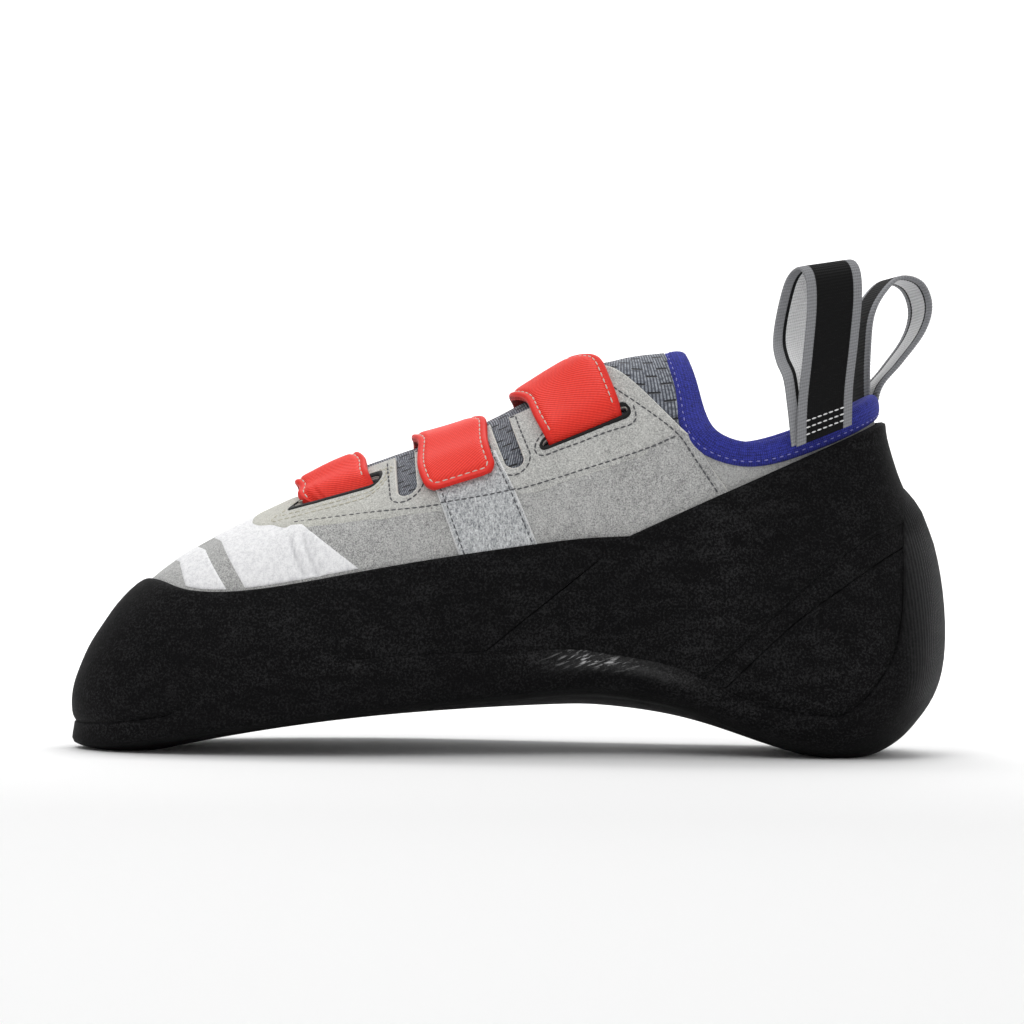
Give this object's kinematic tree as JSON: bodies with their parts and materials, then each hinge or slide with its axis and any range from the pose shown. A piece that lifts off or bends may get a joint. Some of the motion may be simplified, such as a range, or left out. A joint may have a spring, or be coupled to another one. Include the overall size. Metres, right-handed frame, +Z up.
{
  "type": "climbing shoe",
  "caption": "Down-turned climbing shoe for the right foot: hollow lasted upper on a rubber sole with rands, straps over a mesh tongue, padded collar and heel pull loops.",
  "frame": {"origin": "middle of the shoe's box in length and width, on the floor under the sole", "axes": "+X to the heel and -X to the toe, +Y to the outer side of the foot and -Y to the inner side, +Z up"},
  "size_m": [0.2657, 0.0952, 0.1491],
  "materials": {
    "rubber": "matt black, lightly buffed",
    "suede": "grey synthetic suede",
    "lining": "grey fabric",
    "mesh": "grey-blue stretch mesh",
    "knit": "blue padded knit",
    "coated": "red coated synthetic",
    "webbing": "black and grey woven webbing"
  },
  "bodies": {
    "root": {"outsole": "rubber", "toe_rand": "rubber", "heel_rand": "rubber", "upper": "suede", "insole": "lining", "tongue": "mesh", "collar_binding": "knit", "strap_toe": "coated", "strap_middle": "coated", "strap_instep": "coated", "pull_loop_medial": "webbing", "pull_loop_lateral": "webbing"}
  },
  "joints": []
}
